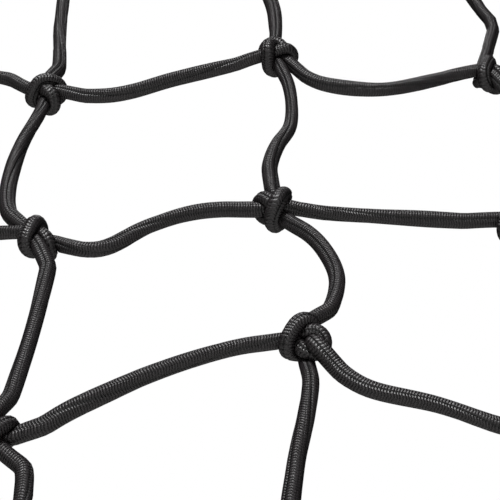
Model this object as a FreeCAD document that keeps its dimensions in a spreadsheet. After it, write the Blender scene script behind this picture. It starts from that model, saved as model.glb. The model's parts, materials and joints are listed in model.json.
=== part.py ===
"""A folding pitch back rebounder: a square tube frame holding a knotted elastic net, turning on two
pivot bolts at the top of an A-frame stand. Lengths are in millimetres.

Row frame: +X is the player's right, +Y points away from the player, +Z is up. The origin lies on the
ground under the pivot axis. The net frame and both stands are drawn upright about the pivot axis, each
in its own group frame, and then leaned about X.
"""

import FreeCAD, Part
import math
import os
import re

import Sketcher
from FreeCAD import Placement, Rotation, Vector

X_AXIS, Y_AXIS, Z_AXIS = Vector(1, 0, 0), Vector(0, 1, 0), Vector(0, 0, 1)
LEFT, RIGHT = -1, 1
SIDES = (("left", LEFT), ("right", RIGHT))

# Driving dimensions: (alias, value, what it is).
DIMENSIONS = (
    ("tube_od", 32, "outer diameter of every frame tube"),
    ("tube_wall", 1.5, "wall of every frame tube"),
    ("bend_radius", 64, "centreline radius of the tube bends"),
    ("swage_gap", 0.2, "radial play of a swaged end in its socket"),
    ("swage_length", 50, "length of a swaged end"),
    ("swage_taper", 6, "length of the cone between tube and swage"),
    ("mouth_gap", 0.5, "gap between a socket's mouth and the inserted tube's shoulder"),
    ("mesh_pitch", 64, "distance between neighbouring net cords"),
    ("mesh_count", 16, "net cords each way"),
    ("cord_dia", 4, "diameter of the elastic cord"),
    ("cord_gap", 0.2, "gap between crossing cords"),
    ("knot_ring_radius", 6.5, "centreline radius of the wrap round a crossing"),
    ("crimp_length", 8, "length of a crimp sleeve"),
    ("crimp_wall", 1, "wall of a crimp sleeve"),
    ("crimp_standoff", 14, "from a frame tube's surface to the neck of its tie loops"),
    ("crimp_inset", 1, "from a tie loop's neck to its crimp"),
    ("cord_tail", 9, "cut end of a tie loop past its crimp"),
    ("frame_joint", 280, "from the middle of the net frame to a socket's mouth"),
    ("pivot_height", 640, "pivot axis above the ground"),
    ("stand_lean", 25, "lean of each stand from upright, in degrees"),
    ("net_lean", 25, "lean of the net from upright, in degrees"),
    ("bar_height", 22, "ground bar's centreline above the ground"),
    ("socket_length", 90, "straight length of a ground bar's socket"),
    ("leg_top", 26, "leg's top end above the pivot axis"),
    ("saddle_radius", 14, "radius of a pivot saddle"),
    ("saddle_rise", 6, "pivot saddle's flat face above the tube"),
    ("saddle_wrap", 4, "how far a saddle reaches round its tube"),
    ("small_saddle_radius", 8, "radius of a saddle on the quadrant bolts"),
    ("running_gap", 0.3, "gap between faces that turn on each other"),
    ("fit_gap", 0.1, "radial play of bolts in their holes"),
    ("touch_gap", 0.05, "gap between parts that bear on each other"),
    ("pivot_bolt_dia", 10, "pivot bolt"),
    ("lock_bolt_dia", 6, "quadrant and stand lock bolts"),
    ("quadrant_radius", 150, "pivot axis to the quadrant slot"),
    ("quadrant_rim", 14, "quadrant plate outside its slot"),
    ("quadrant_plate", 3, "quadrant plate's thickness"),
    ("folded_angle", 12, "angle between the stands when folded, in degrees"),
    ("washer_thickness", 2, "knob washer"),
    ("knob_radius", 27, "tilt knob"),
    ("knob_height", 24, "tilt knob"),
    ("lock_washer_thickness", 1.2, "stand lock knob's washer"),
    ("lock_knob_radius", 12, "stand lock knob"),
    ("lock_knob_height", 13, "stand lock knob"),
    ("button_dia", 8, "snap button"),
    ("button_offset", 20, "snap button's centre from the socket's mouth"),
    ("button_stand", 4.5, "snap button above the tube"),
    ("spring_width", 7, "snap spring strip"),
    ("spring_strip", 0.8, "thickness of the snap spring strip"),
    ("foot_spread", 480, "middle of the stand to a rubber foot"),
    ("foot_length", 70, "rubber foot along its bar"),
    ("foot_half_width", 24, "half the foot's width across the bar"),
    ("tab_spread", 400, "middle of the stand to a stake tab"),
    ("tab_width", 40, "stake tab along its bar"),
    ("tab_reach", 46, "bar's centreline to the stake tab's end"),
    ("tab_plate", 4, "stake tab's thickness"),
    ("stake_hole_dia", 12, "hole in a stake tab"),
    ("stake_hole_reach", 32, "bar's centreline to the stake hole"),
)
ALIASES = {alias for alias, _, _ in DIMENSIONS}

doc = FreeCAD.newDocument("pitch_back_rebounder")
sizes = doc.addObject("Spreadsheet::Sheet", "Sizes")
for row, (alias, number, note) in enumerate(DIMENSIONS, start=1):
    sizes.set(f"A{row}", alias)
    sizes.set(f"B{row}", str(number))
    sizes.set(f"C{row}", note)
    sizes.setAlias(f"B{row}", alias)
doc.recompute()

SUBPARTS = []


# ---------------------------------------------------------------- helpers


def bound(expression):
    """The expression with each dimension's name pointing at its cell."""

    def cell(match):
        return "Sizes." + match.group() if match.group() in ALIASES else match.group()

    return re.sub(r"[a-z_]+", cell, str(expression))


def value(expression):
    """The expression as a number."""
    return float(sizes.evalExpression(bound(expression)))


def drive(thing, **properties):
    """Binds each property of thing to an expression of the dimensions."""
    for name, expression in properties.items():
        thing.setExpression(name, bound(expression))
    return thing


def subpart(label, thing, placement=None):
    """Names a finished sub-part, sets where it is, and lists it for export."""
    thing.Label = label
    if placement is not None:
        thing.Placement = placement
    SUBPARTS.append(thing)
    return thing


def cylinder(radius, height, placement=None, **more):
    """A cylinder along its own Z."""
    rod = doc.addObject("Part::Cylinder", "Rod")
    rod.Placement = placement or Placement()
    return drive(rod, Radius=radius, Height=height, **more)


def along_x(start, y=0.0, z=0.0):
    """Turns a part that lies along Z to lie along +X from the point (start, y, z)."""
    return Placement(Vector(start, y, z), Rotation(Y_AXIS, 90))


def fused(things):
    joined = doc.addObject("Part::MultiFuse", "Joined")
    joined.Shapes = things
    return joined


def cut(base, tools):
    """base with every tool taken away."""
    result = doc.addObject("Part::Cut", "Drilled")
    result.Base = base
    result.Tool = tools[0] if len(tools) == 1 else fused(tools)
    return result


def grouped(things):
    group = doc.addObject("Part::Compound", "Group")
    group.Links = things
    return group


def profile(body, plane, points):
    """A closed polygon on one of the body's planes, each corner held by two driven distances."""
    sketch = body.newObject("Sketcher::SketchObject", "Profile")
    origin = [f for f in body.Origin.OriginFeatures if f.Role == plane][0]
    sketch.AttachmentSupport = (origin, [""])
    sketch.MapMode = "FlatFace"
    corners = [Vector(value(x), value(y), 0) for x, y in points]
    count = len(corners)
    for i, corner in enumerate(corners):
        sketch.addGeometry(Part.LineSegment(corner, corners[(i + 1) % count]), False)
    for i in range(count):
        sketch.addConstraint(Sketcher.Constraint("Coincident", i, 2, (i + 1) % count, 1))
    for i, point in enumerate(points):
        kinds = (("DistanceX", -2), ("DistanceY", -1))
        for (kind, axis), expression in zip(kinds, point):
            number = value(expression)
            if abs(number) < 1e-9:
                sketch.addConstraint(Sketcher.Constraint("PointOnObject", i, 1, axis))
                continue
            held = sketch.addConstraint(Sketcher.Constraint(kind, -1, 1, i, 1, number))
            sketch.setExpression(f"Constraints[{held}]", bound(expression))
    return sketch


def turned(points):
    """A body turned about Z from its half section, given as (radius, height) expressions."""
    body = doc.addObject("PartDesign::Body", "Turned")
    turn = body.newObject("PartDesign::Revolution", "Turn")
    turn.Profile = profile(body, "XZ_Plane", points)
    turn.ReferenceAxis = (turn.Profile[0], ["V_Axis"])
    turn.Angle = 360
    return body


def plate(points, thickness):
    """A body padded up from a polygon in XY."""
    body = doc.addObject("PartDesign::Body", "Plate")
    pad = body.newObject("PartDesign::Pad", "Pad")
    pad.Profile = profile(body, "XY_Plane", points)
    drive(pad, Length=thickness)
    return body


def bent_rod(radius, straight_half, stub):
    """A solid rod bent to a U: straight along X, a quarter bend at each end, stubs along +Z."""
    half, bend = value(straight_half), value("bend_radius")
    run = cylinder(radius, f"2 * ({straight_half})", along_x(-half))
    pieces = [run]
    for side, start_angle in ((LEFT, 180), (RIGHT, -90)):
        elbow = doc.addObject("Part::Torus", "Elbow")
        drive(elbow, Radius1="bend_radius", Radius2=radius)
        elbow.Angle3 = 90
        turn = Rotation(X_AXIS, 90) * Rotation(Z_AXIS, start_angle)
        elbow.Placement = Placement(Vector(side * half, 0, bend), turn)
        arm = Placement(Vector(side * (half + bend), 0, bend), Rotation())
        pieces += [elbow, cylinder(radius, stub, arm)]
    return fused(pieces)


def bent_tube(straight_half, stub, drills):
    """The U as a tube with open ends, less the drills."""
    outside = bent_rod("tube_od / 2", straight_half, stub)
    inside = bent_rod("tube_od / 2 - tube_wall", straight_half, f"{stub} + 1")
    return cut(outside, [inside] + drills)


def swaged_section(shoulder, end):
    """Corners of one swaged end, as its outside and its inside. shoulder and end are heights."""
    out_radius = "tube_od / 2 - tube_wall - swage_gap"
    in_radius = "tube_od / 2 - 2 * tube_wall - swage_gap"
    sign = "+" if value(end) < value(shoulder) else "-"
    taper = f"{shoulder} {sign} swage_taper"
    outside = [("tube_od / 2", taper), (out_radius, shoulder), (out_radius, end)]
    inside = [(in_radius, end), (in_radius, shoulder), ("tube_od / 2 - tube_wall", taper)]
    return outside, inside


def pin_hole(diameter, length, placement):
    """A drill for a bolt with play, centred on the placement's origin and lying along its Z."""
    back = Placement(Vector(0, 0, -value(length) / 2), Rotation())
    return cylinder(f"({diameter}) / 2 + fit_gap", length, placement * back)


def button_hole(placement):
    return pin_hole("button_dia", "tube_od / 2", placement)


# ---------------------------------------------------------------- where things are

TUBE = value("tube_od / 2")
FRAME_HALF = value("mesh_pitch * (mesh_count + 1) / 2")
FRAME_HALF_SIZE = "mesh_pitch * (mesh_count + 1) / 2"
CORDS = [value("mesh_pitch") * (i - (value("mesh_count") - 1) / 2) for i in range(int(value("mesh_count")))]

# Stack across the pivot, outwards: net tube, rear leg, quadrant plate, front leg, washer, knob.
SADDLE = value("saddle_rise")
RUNNING = value("running_gap")
REAR_LEG = FRAME_HALF + 2 * TUBE + 2 * SADDLE + RUNNING
QUADRANT_FACE = REAR_LEG + TUBE + SADDLE + RUNNING
FRONT_LEG = QUADRANT_FACE + value("quadrant_plate") + SADDLE + TUBE
WASHER_FACE = FRONT_LEG + TUBE + SADDLE + value("fit_gap")
KNOB_FACE = WASHER_FACE + value("washer_thickness") + value("fit_gap")

LEG_LENGTH = value("(pivot_height - bar_height) / cos(stand_lean)")
BAR_SETBACK = LEG_LENGTH * math.sin(math.radians(value("stand_lean")))
LEG_LENGTH_SIZE = "(pivot_height - bar_height) / cos(stand_lean)"
MOUTH_SIZE = f"({LEG_LENGTH_SIZE} - bend_radius - socket_length)"
MOUTH = value(MOUTH_SIZE)

PIVOT = Vector(0, 0, value("pivot_height"))
NET_GROUP = Placement(PIVOT, Rotation(X_AXIS, -value("net_lean")))
FRONT_GROUP = Placement(PIVOT, Rotation(X_AXIS, -value("stand_lean")))
REAR_GROUP = Placement(PIVOT, Rotation(X_AXIS, value("stand_lean")))


def shift(x=0.0, y=0.0, z=0.0):
    return Placement(Vector(x, y, z), Rotation())


def facing(side, x, z=0.0):
    """For a part that lies along Z: at (x, 0, z), pointing to that side."""
    return Placement(Vector(x, 0, z), Rotation(Y_AXIS, 90 * side))


# ---------------------------------------------------------------- snap buttons and their springs


# Where a button's foot stands on its spring, out from the tube's centreline.
BUTTON_FOOT_SIZE = "(tube_od / 2 - 2 * tube_wall - swage_gap - 1.1)"


def snap_button():
    """A domed button, its foot at the origin, pointing along +Z."""
    reach = f"(tube_od / 2 + button_stand - {BUTTON_FOOT_SIZE})"
    return turned(
        [
            ("0", "0"),
            ("button_dia / 2", "0"),
            ("button_dia / 2", f"{reach} - 1.8"),
            ("button_dia / 2 - 0.6", f"{reach} - 0.8"),
            ("button_dia / 2 - 2", f"{reach} - 0.2"),
            ("0", reach),
        ]
    )


def snap_spring():
    """A V-shaped strip inside a swaged end, its free leaf under the button. The button points along +Y
    of the strip's section, and the tube runs along X."""
    wall = "(tube_od / 2 - 2 * tube_wall - swage_gap - 0.7)"
    foot = f"({BUTTON_FOOT_SIZE} - 0.1)"
    return plate(
        [
            ("-26", f"-{wall} + 1"),
            ("-25", f"-{wall}"),
            ("16", f"-{wall}"),
            ("16", f"-{wall} + spring_strip"),
            ("-24.4", f"-{wall} + spring_strip"),
            ("-24.7", f"-{wall} + 1.4"),
            ("-8", f"{foot} - spring_strip"),
            ("8", f"{foot} - spring_strip"),
            ("8", foot),
            ("-8.4", foot),
        ],
        "spring_width",
    )


def snap_parts(group, places):
    """Buttons as sub-parts of their own, and the springs they stand on. places: label, point on the
    tube's centreline, rotation that turns +Z to the button's direction and +X along the tube."""
    springs = []
    for label, point, turn in places:
        at = group * Placement(point, turn)
        subpart(label, snap_button(), at * shift(z=value(BUTTON_FOOT_SIZE)))
        strip = snap_spring()
        middle = shift(y=value("spring_width / 2"))
        strip.Placement = Placement(point, turn) * middle * Placement(Vector(), Rotation(X_AXIS, 90))
        springs.append(strip)
    return springs


# ---------------------------------------------------------------- saddles, bolts and nuts


def saddle(radius, bolt_dia, placement):
    """A washer with one flat face, hollowed to sit on a tube. It points along +Z from the tube's
    surface, and the tube runs along its X."""
    disc = cylinder(radius, "saddle_rise + saddle_wrap", shift(z=-value("saddle_wrap")))
    bore = cylinder(f"{bolt_dia} / 2 + fit_gap", "3 * saddle_rise", shift(z=-value("saddle_rise")))
    reach = value(radius) + 1
    seat = Placement(Vector(-reach, 0, -TUBE), Rotation(Y_AXIS, 90))
    tube = cylinder("tube_od / 2 + touch_gap", f"2 * ({radius}) + 2", seat)
    result = cut(disc, [bore, tube])
    result.Placement = placement
    return result


def bolt(dia, head_radius, head_height, length):
    """A round-head bolt: the head's bearing face is at the origin, and the shank points along +Z."""
    return turned(
        [
            ("0", f"-{head_height}"),
            (f"{head_radius} * 0.55", f"-{head_height} * 0.9"),
            (f"{head_radius} * 0.9", f"-{head_height} * 0.5"),
            (head_radius, f"-{head_height} * 0.15"),
            (head_radius, "0"),
            (f"{dia} / 2", "0"),
            (f"{dia} / 2", f"{length} - 1"),
            (f"{dia} / 2 - 1", length),
            ("0", length),
        ]
    )


def hexagon(across_flats):
    """Corners of a hexagon as expressions."""
    corner = f"({across_flats}) / 2 / cos(30)"
    return [(f"{corner} * cos({60 * k})", f"{corner} * sin({60 * k})") for k in range(6)]


# ---------------------------------------------------------------- net frame


def bar_outline(shoulder):
    """Half section of a tube with a swaged end at each end."""
    top_outside, top_inside = swaged_section(shoulder, f"{shoulder} + swage_length")
    low_outside, low_inside = swaged_section(f"-{shoulder}", f"-{shoulder} - swage_length")
    return low_outside[::-1] + top_outside + top_inside + low_inside[::-1]


def net_frame():
    straight = f"({FRAME_HALF_SIZE} - bend_radius)"
    stub = f"({straight} - frame_joint)"
    stub_end = value("bend_radius") + value(stub)
    for name, side in SIDES:
        # The U lies on its side: its straight run is upright, and its sockets point to the middle.
        pose = Placement(Vector(side * FRAME_HALF, 0, 0), Rotation(Y_AXIS, -90 * side))
        holes = [pin_hole("pivot_bolt_dia", "3 * tube_od", shift(z=0))]
        for end in (LEFT, RIGHT):
            at = Vector(end * FRAME_HALF, TUBE, stub_end - value("button_offset"))
            holes.append(button_hole(Placement(at, Rotation(X_AXIS, 90))))
        tube = bent_tube(straight, stub, holes)
        subpart(f"net_frame_{name}_tube", tube, NET_GROUP * pose)

    shoulder = "(frame_joint - mouth_gap)"
    springs = []
    for name, up in (("bottom", -1), ("top", 1)):
        bar = turned(bar_outline(shoulder))
        places, holes = [], []
        for side_name, side in SIDES:
            along = side * value("frame_joint + button_offset")
            hole = Vector(0, TUBE, along)
            holes.append(button_hole(Placement(hole, Rotation(X_AXIS, 90))))
            turn = Rotation(X_AXIS, -90) * Rotation(Z_AXIS, 0 if side == LEFT else 180)
            at = Vector(along, 0, up * FRAME_HALF)
            places.append((f"{name}_{side_name}_snap_button", at, turn))
        lie = shift(z=up * FRAME_HALF) * along_x(0)
        subpart(f"net_frame_{name}_bar", cut(bar, holes), NET_GROUP * lie)
        springs += snap_parts(NET_GROUP, places)
    subpart("net_frame_snap_springs", grouped(springs), NET_GROUP)

    saddles, bolts = [], []
    bolt_face = FRAME_HALF - TUBE - SADDLE
    length = KNOB_FACE + 0.7 * value("knob_height") - bolt_face
    for _, side in SIDES:
        for towards in (side, -side):
            at = facing(towards, side * FRAME_HALF + towards * TUBE)
            saddles.append(saddle("saddle_radius", "pivot_bolt_dia", at))
        shank = bolt("pivot_bolt_dia", "pivot_bolt_dia", "pivot_bolt_dia * 0.6", length)
        shank.Placement = facing(side, side * bolt_face)
        bolts.append(shank)
    subpart("frame_saddles", grouped(saddles), NET_GROUP)
    subpart("pivot_bolts", grouped(bolts), NET_GROUP)


# ---------------------------------------------------------------- net

LAYER = value("cord_dia + cord_gap") / 2
CORD = value("cord_dia / 2")
CRIMP_AT = FRAME_HALF - TUBE - value("crimp_standoff")


def net_cords():
    """Crossing cords in two layers, each running from crimp to crimp. Rows lie in front."""
    reach = CRIMP_AT - value("crimp_length")
    rows, columns = [], []
    for at in CORDS:
        rows.append(cylinder("cord_dia / 2", 2 * reach, along_x(-reach, -LAYER, at)))
        columns.append(cylinder("cord_dia / 2", 2 * reach, shift(at, LAYER, -reach)))
    subpart("net_row_cords", grouped(rows), NET_GROUP)
    subpart("net_column_cords", grouped(columns), NET_GROUP)


def net_knots():
    """One closed wrap round each crossing, on its diagonal."""
    ring = Part.makeTorus(value("knot_ring_radius"), CORD)
    ring.Placement = Placement(Vector(), Rotation(Y_AXIS, 45))
    rings = []
    for x in CORDS:
        for z in CORDS:
            copy = ring.copy()
            copy.translate(Vector(x, 0, z))
            rings.append(copy)
    knots = doc.addObject("Part::Feature", "Knots")
    knots.Shape = Part.makeCompound(rings)
    subpart("net_knots", knots, NET_GROUP)


def tie_loop():
    """The end of a net cord, taken round a tube that lies along Y at the origin. The cord comes from -X
    on the +Z side of the crimp, and its cut end lies on the -Z side."""
    radius = TUBE + CORD + value("fit_gap")
    start = Vector(-TUBE - value("crimp_standoff"), 0, LAYER)
    distance = math.hypot(start.x, start.z)
    to_start = math.atan2(start.z, start.x)
    tangent = to_start - math.acos(radius / distance)
    touch = Vector(radius * math.cos(tangent), 0, radius * math.sin(tangent))
    far = Vector(radius, 0, 0)
    back = Vector(touch.x, 0, -touch.z)
    start_back = Vector(start.x, 0, -start.z)
    into_crimp = Vector(start.x - value("crimp_length"), 0, start.z)
    tail = Vector(into_crimp.x - value("cord_tail"), 0, -start.z)
    runs = [
        Part.LineSegment(into_crimp, start),
        Part.LineSegment(start, touch),
        Part.Arc(touch, far, back),
        Part.LineSegment(back, start_back),
        Part.LineSegment(start_back, tail),
    ]
    path = Part.Wire([run.toShape() for run in runs])
    section = Part.Wire([Part.Circle(into_crimp, X_AXIS, CORD).toShape()])
    return path.makePipeShell([section], True, False, 1)


def crimp():
    """A flat oval sleeve round the two strands at a loop's neck, lying along X from its start."""
    walls = []
    for radius in (CORD + value("fit_gap") + value("crimp_wall"), CORD + value("fit_gap")):
        ends = [Vector(0, 0, LAYER), Vector(0, 0, -LAYER)]
        side = Vector(0, radius, 0)
        outline = [
            Part.LineSegment(ends[0] + side, ends[1] + side),
            Part.Arc(ends[1] + side, ends[1] - Vector(0, 0, radius), ends[1] - side),
            Part.LineSegment(ends[1] - side, ends[0] - side),
            Part.Arc(ends[0] - side, ends[0] + Vector(0, 0, radius), ends[0] + side),
        ]
        wire = Part.Wire([edge.toShape() for edge in outline])
        walls.append(Part.Face(wire).extrude(Vector(value("crimp_length"), 0, 0)))
    sleeve = walls[0].cut(walls[1])
    neck = -TUBE - value("crimp_standoff + crimp_inset")
    sleeve.translate(Vector(neck - value("crimp_length"), 0, 0))
    return sleeve


def tie_places():
    """For each tie: which pair of frame tubes it is on, and its rotation and place. The loop's own X
    points out to the tube, and its own +Z side is the net cord's layer."""
    places = []
    for at in CORDS:
        for _, side in SIDES:
            # Rows lie in the front layer and go round the upright tubes.
            row_turn = Rotation(Vector(side, 0, 0), Vector(0, 0, side), Vector(0, -1, 0), "XZY")
            places.append(("side", Placement(Vector(side * FRAME_HALF, 0, at), row_turn)))
            # Columns lie in the rear layer and go round the top and bottom tubes.
            column_turn = Rotation(Vector(0, 0, side), Vector(side, 0, 0), Vector(0, 1, 0), "XZY")
            places.append(("end", Placement(Vector(at, 0, side * FRAME_HALF), column_turn)))
    return places


def net_ties():
    loop, sleeve = tie_loop(), crimp()
    for name, label in (("side", "side_tie_loops"), ("end", "top_bottom_tie_loops")):
        loops = doc.addObject("Part::Feature", "Loops")
        shapes = []
        for group, place in tie_places():
            if group == name:
                copy = loop.copy()
                copy.Placement = place
                shapes.append(copy)
        loops.Shape = Part.makeCompound(shapes)
        subpart(label, loops, NET_GROUP)
    sleeves = []
    for _, place in tie_places():
        copy = sleeve.copy()
        copy.Placement = place * sleeve.Placement
        sleeves.append(copy)
    crimps = doc.addObject("Part::Feature", "Crimps")
    crimps.Shape = Part.makeCompound(sleeves)
    subpart("tie_crimps", crimps, NET_GROUP)


# ---------------------------------------------------------------- stands


def leg_outline():
    """Half section of a leg: open at the top, swaged at the bottom, with the pivot at height 0."""
    shoulder = f"-{MOUTH_SIZE} + mouth_gap"
    outside, inside = swaged_section(shoulder, f"{shoulder} - swage_length")
    top = [("tube_od / 2 - tube_wall", "leg_top"), ("tube_od / 2", "leg_top")]
    return top + outside + inside


def stand(name, group, leg_x, yaw):
    """One U-shaped stand. yaw is the side of the bar that faces away from the other stand."""
    legs, saddles, caps, places = [], [], [], []
    button_at = -MOUTH - value("button_offset")
    for side_name, side in SIDES:
        bores = [
            pin_hole("pivot_bolt_dia", "2 * tube_od", along_x(0)),
            pin_hole("lock_bolt_dia", "2 * tube_od", along_x(0, z=-value("quadrant_radius"))),
            button_hole(along_x(side * TUBE, z=button_at)),
        ]
        leg = cut(turned(leg_outline()), bores)
        subpart(f"{name}_{side_name}_leg", leg, group * shift(side * leg_x))
        for towards in (side, -side):
            face = side * leg_x + towards * TUBE
            saddles.append(saddle("saddle_radius", "pivot_bolt_dia", facing(towards, face)))
            small = facing(towards, face, -value("quadrant_radius"))
            saddles.append(saddle("small_saddle_radius", "lock_bolt_dia", small))
        cap = turned(
            [
                ("0", "-12"),
                ("tube_od / 2 - tube_wall - fit_gap", "-12"),
                ("tube_od / 2 - tube_wall - fit_gap", "touch_gap"),
                ("tube_od / 2 + 0.4", "touch_gap"),
                ("tube_od / 2 + 0.4", "3"),
                ("tube_od / 2 - 2", "6"),
                ("tube_od / 2 - 7", "7.6"),
                ("0", "8.4"),
            ]
        )
        cap.Placement = shift(side * leg_x, z=value("leg_top"))
        caps.append(cap)
        turn = Rotation(Vector(0, 0, 1), Vector(0, side, 0), Vector(side, 0, 0), "XZY")
        at = Vector(side * leg_x, 0, button_at)
        places.append((f"{name}_{side_name}_snap_button", at, turn))
    subpart(f"{name}_leg_saddles", grouped(saddles), group)
    subpart(f"{name}_leg_caps", grouped(caps), group)
    subpart(f"{name}_snap_springs", grouped(snap_parts(group, places)), group)

    half = f"({leg_x} - bend_radius)"
    socket_button = value("bend_radius + socket_length - button_offset")
    holes = [button_hole(along_x(side * (leg_x + TUBE), z=socket_button)) for _, side in SIDES]
    bar = bent_tube(half, "socket_length", holes)
    subpart(f"{name}_ground_bar", bar, group * shift(z=-LEG_LENGTH))
    ground_fittings(name, yaw)


def ground_fittings(name, yaw):
    """The rubber feet and stake tabs of the bar on that side of the pivot. They are level."""
    feet, tabs = [], []
    bar = Vector(0, yaw * BAR_SETBACK, value("bar_height"))
    for _, side in SIDES:
        # The block's section is drawn in XY: X across the bar, Y up.
        block = plate(
            [
                ("-foot_half_width", "-bar_height"),
                ("foot_half_width", "-bar_height"),
                ("foot_half_width", "-bar_height / 2"),
                ("foot_half_width - 9", "tube_od / 2 + 4"),
                ("9 - foot_half_width", "tube_od / 2 + 4"),
                ("-foot_half_width", "-bar_height / 2"),
            ],
            "foot_length",
        )
        bore = cylinder("tube_od / 2 + fit_gap", "foot_length + 2", shift(z=-1))
        foot = cut(block, [bore])
        across = Rotation(Y_AXIS, Z_AXIS, X_AXIS, "XYZ")
        start = side * value("foot_spread") - value("foot_length") / 2
        foot.Placement = Placement(bar + Vector(start, 0, 0), across)
        feet.append(foot)

        outline = [
            ("-tab_width / 2", "tube_od / 4"),
            ("tab_width / 2", "tube_od / 4"),
            ("tab_width / 2", "tab_reach - 8"),
            ("tab_width / 2 - 8", "tab_reach"),
            ("8 - tab_width / 2", "tab_reach"),
            ("-tab_width / 2", "tab_reach - 8"),
        ]
        reach = value("stake_hole_reach")
        hole = cylinder("stake_hole_dia / 2", "2 * tab_plate", shift(0, reach, -value("tab_plate") / 2))
        seat = along_x(-value("tab_width"), 0, value("tab_plate") / 2)
        tube = cylinder("tube_od / 2 + touch_gap", "2 * tab_width", seat)
        tab = cut(plate(outline, "tab_plate"), [hole, tube])
        half_turn = Rotation(Z_AXIS, 0 if yaw > 0 else 180)
        at = bar + Vector(side * value("tab_spread"), 0, -value("tab_plate") / 2)
        tab.Placement = Placement(at, half_turn)
        tabs.append(tab)
    subpart(f"{name}_rubber_feet", grouped(feet))
    subpart(f"{name}_stake_tabs", grouped(tabs))


# ---------------------------------------------------------------- quadrants and locks


def sector(radius, first, last):
    """A wedge of that radius between two angles in degrees, as thick as the quadrant plate."""
    return cylinder(
        radius,
        "quadrant_plate",
        Placement(Vector(), Rotation(Z_AXIS, first)),
        Angle=last - first,
    )


def quadrant():
    """A plate round the pivot with an arc slot. Its own X and Y are the row's Y and Z."""
    front_leg, rear_leg = -90 - value("stand_lean"), -90 + value("stand_lean")
    folded = front_leg + value("folded_angle")
    radius = value("quadrant_radius")
    blank = sector("quadrant_radius + quadrant_rim", front_leg - 6, rear_leg + 5)
    hub = cylinder("saddle_radius + 4", "quadrant_plate")
    through = 2 * value("quadrant_plate")

    def at_angle(angle):
        spot = Rotation(Z_AXIS, angle).multVec(Vector(radius, 0, -1))
        return Placement(spot, Rotation())

    slot_half = "(lock_bolt_dia / 2 + fit_gap + touch_gap)"
    band = cut(
        sector(f"quadrant_radius + {slot_half}", folded, rear_leg),
        [sector(f"quadrant_radius - {slot_half}", folded - 1, rear_leg + 1)],
    )
    holes = [
        band,
        cylinder(slot_half, through, at_angle(folded)),
        cylinder(slot_half, through, at_angle(rear_leg)),
        cylinder("lock_bolt_dia / 2 + fit_gap", through, at_angle(front_leg)),
        cylinder("pivot_bolt_dia / 2 + fit_gap", through, shift(z=-1)),
    ]
    return cut(fused([blank, hub]), holes)


def star_knob(radius, height, bolt_dia, lobes):
    """A knob with scallops round its rim and a blind bore, standing on Z = 0."""
    head = turned(
        [
            (f"{bolt_dia} / 2 + fit_gap", "0"),
            (f"{radius} * 0.55", "0"),
            (f"{radius} * 0.6", f"{height} * 0.28"),
            (f"{radius} * 0.96", f"{height} * 0.36"),
            (radius, f"{height} * 0.45"),
            (radius, f"{height} * 0.85"),
            (f"{radius} * 0.9", f"{height} * 0.97"),
            (f"{radius} * 0.75", height),
            ("0", height),
            ("0", f"{height} * 0.82"),
            (f"{bolt_dia} / 2 + fit_gap", f"{height} * 0.82"),
        ]
    )
    scallops = []
    for k in range(lobes):
        spot = Rotation(Z_AXIS, 360 * k / lobes).multVec(Vector(value(radius) * 1.16, 0, -1))
        scallops.append(cylinder(f"{radius} * 0.34", f"{height} + 2", Placement(spot, Rotation())))
    return cut(head, scallops)


def washer(bolt_dia, thickness):
    """A flat washer on Z = 0, twice as wide as its bolt."""
    return turned(
        [
            (f"{bolt_dia} / 2 + fit_gap", "0"),
            (bolt_dia, "0"),
            (bolt_dia, thickness),
            (f"{bolt_dia} / 2 + fit_gap", thickness),
        ]
    )


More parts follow.
